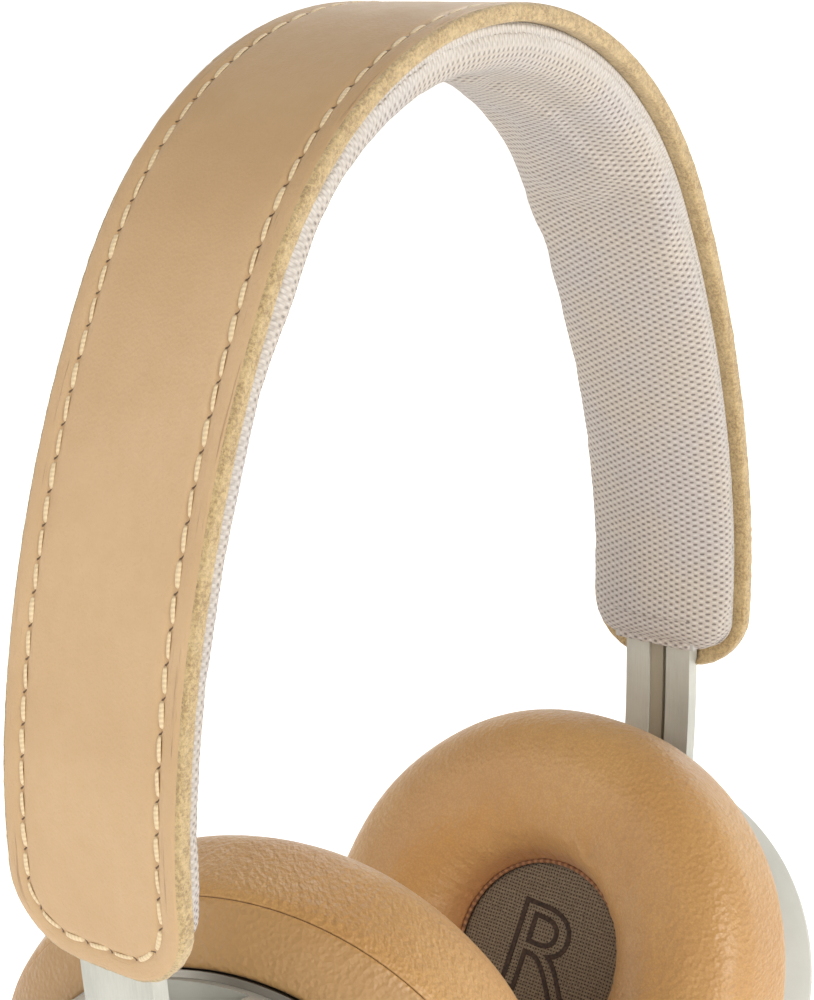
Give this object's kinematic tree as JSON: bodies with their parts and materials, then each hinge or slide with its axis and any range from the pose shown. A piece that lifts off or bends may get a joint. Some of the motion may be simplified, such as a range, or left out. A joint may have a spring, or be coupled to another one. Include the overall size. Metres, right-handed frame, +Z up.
{
  "type": "over-ear headphones",
  "caption": "Wireless headphones with a leather-covered sprung headband, sliding metal arms and round leather-padded cups that swivel and tilt.",
  "frame": {"origin": "middle of the headband cushion's underside at the crown, where it rests on the head", "axes": "+Z up through the crown, +X to the wearer's left ear, +Y to the back of the head"},
  "size_m": [0.1546, 0.0952, 0.2157],
  "materials": {
    "strap_leather": "smooth tan leather, raw edges",
    "lining_textile": "light grey woven textile",
    "band_textile": "light grey knitted textile over foam",
    "spring_steel": "cold rolled",
    "cable_sleeve": "matte",
    "guide_plastic": "fine moulded",
    "arm_aluminium": "brushed, bevelled edges",
    "strip_plastic": "satin",
    "cap_aluminium": "spun",
    "pin_steel": "ground",
    "gimbal_aluminium": "machined",
    "housing_shell": "satin anodised",
    "plate_aluminium": "brushed",
    "bezel_metal": "bright chamfer",
    "inner_plastic": "moulded",
    "magnet_metal": "nickel plated",
    "coil_copper": "enamelled wire",
    "membrane": "thin film",
    "mesh_fabric": "coarse woven acoustic mesh",
    "ear_leather": "soft tan leather over foam",
    "board_fibreglass": "solder mask",
    "battery_wrap": "foil pouch",
    "button_metal": "satin",
    "socket_metal": "nickel plated"
  },
  "bodies": {
    "headband": {"leather_strap": "strap_leather", "headband_lining": "lining_textile", "spring_band": "spring_steel", "headband_pad": "band_textile", "headband_cable": "cable_sleeve", "left_arm_guide": "guide_plastic", "right_arm_guide": "guide_plastic"},
    "left_arm": {"left_arm": "arm_aluminium", "left_arm_cable_strip": "strip_plastic", "left_arm_cap": "cap_aluminium", "left_swivel_pins": "pin_steel", "left_stop_plate": "pin_steel"},
    "left_gimbal": {"left_gimbal_ring": "gimbal_aluminium", "left_tilt_pins": "pin_steel"},
    "left_cup": {"left_housing": "housing_shell", "left_outer_plate": "plate_aluminium", "left_bezel": "bezel_metal", "left_baffle": "inner_plastic", "left_baffle_screws": "pin_steel", "left_driver_frame": "inner_plastic", "left_driver_magnet": "magnet_metal", "left_voice_coil": "coil_copper", "left_diaphragm": "membrane", "left_ear_mesh": "mesh_fabric", "left_ear_pad": "ear_leather", "left_pivot_post": "pin_steel", "left_circuit_board": "board_fibreglass", "left_microphone": "socket_metal", "audio_jack_socket": "socket_metal", "usb_socket": "socket_metal", "battery": "battery_wrap"},
    "right_arm": {"right_arm": "arm_aluminium", "right_arm_cable_strip": "strip_plastic", "right_arm_cap": "cap_aluminium", "right_swivel_pins": "pin_steel", "right_stop_plate": "pin_steel"},
    "right_gimbal": {"right_gimbal_ring": "gimbal_aluminium", "right_tilt_pins": "pin_steel"},
    "right_cup": {"right_housing": "housing_shell", "right_outer_plate": "plate_aluminium", "right_bezel": "bezel_metal", "right_baffle": "inner_plastic", "right_baffle_screws": "pin_steel", "right_driver_frame": "inner_plastic", "right_driver_magnet": "magnet_metal", "right_voice_coil": "coil_copper", "right_diaphragm": "membrane", "right_ear_mesh": "mesh_fabric", "right_ear_pad": "ear_leather", "right_pivot_post": "pin_steel", "right_circuit_board": "board_fibreglass", "right_microphone": "socket_metal"},
    "noise_button": {"noise_control_button": "button_metal"},
    "volume_up": {"volume_up_button": "button_metal"},
    "volume_down": {"volume_down_button": "button_metal"},
    "power_switch": {"power_slider": "button_metal"}
  },
  "joints": [
    {"name": "left_arm_slide", "type": "slide", "parent": "headband", "child": "left_arm", "axis": [0, 0, -1], "range_m": [0, 0.02]},
    {"name": "left_cup_swivel", "type": "hinge", "parent": "left_arm", "child": "left_gimbal", "pos_m": [0.06095, 0, -0.1591], "axis": [0.3007, 0, 0.9537], "range_deg": [-34.4, 0.6]},
    {"name": "left_cup_tilt", "type": "hinge", "parent": "left_gimbal", "child": "left_cup", "pos_m": [0.06095, 0, -0.1591], "axis": [0.2773, -0.9568, -0.0874], "range_deg": [-19.8, 4.7]},
    {"name": "right_arm_slide", "type": "slide", "parent": "headband", "child": "right_arm", "axis": [0, 0, -1], "range_m": [-0.0123, 0.0077]},
    {"name": "right_cup_swivel", "type": "hinge", "parent": "right_arm", "child": "right_gimbal", "pos_m": [-0.06095, 0, -0.1714], "axis": [-0.3007, 0, 0.9537], "range_deg": [-14.3, 20.7]},
    {"name": "right_cup_tilt", "type": "hinge", "parent": "right_gimbal", "child": "right_cup", "pos_m": [-0.06095, 0, -0.1714], "axis": [0.0532, 0.9984, 0.0168], "range_deg": [-0.3, 24.2]},
    {"name": "noise_control_press", "type": "slide", "parent": "left_cup", "child": "noise_button", "axis": [0.2095, -0.883, -0.42], "range_m": [0, 0.0006], "stiffness_N_per_m": 1500},
    {"name": "volume_up_press", "type": "slide", "parent": "right_cup", "child": "volume_up", "axis": [-0.2089, -0.9348, 0.2871], "range_m": [0, 0.0006], "stiffness_N_per_m": 1500},
    {"name": "volume_down_press", "type": "slide", "parent": "right_cup", "child": "volume_down", "axis": [-0.3101, -0.8122, 0.4941], "range_m": [0, 0.0006], "stiffness_N_per_m": 1500},
    {"name": "power_slide", "type": "slide", "parent": "right_cup", "child": "power_switch", "axis": [-0.8839, 0.0549, -0.4644], "range_m": [-0.0014, 0.0014]}
  ]
}
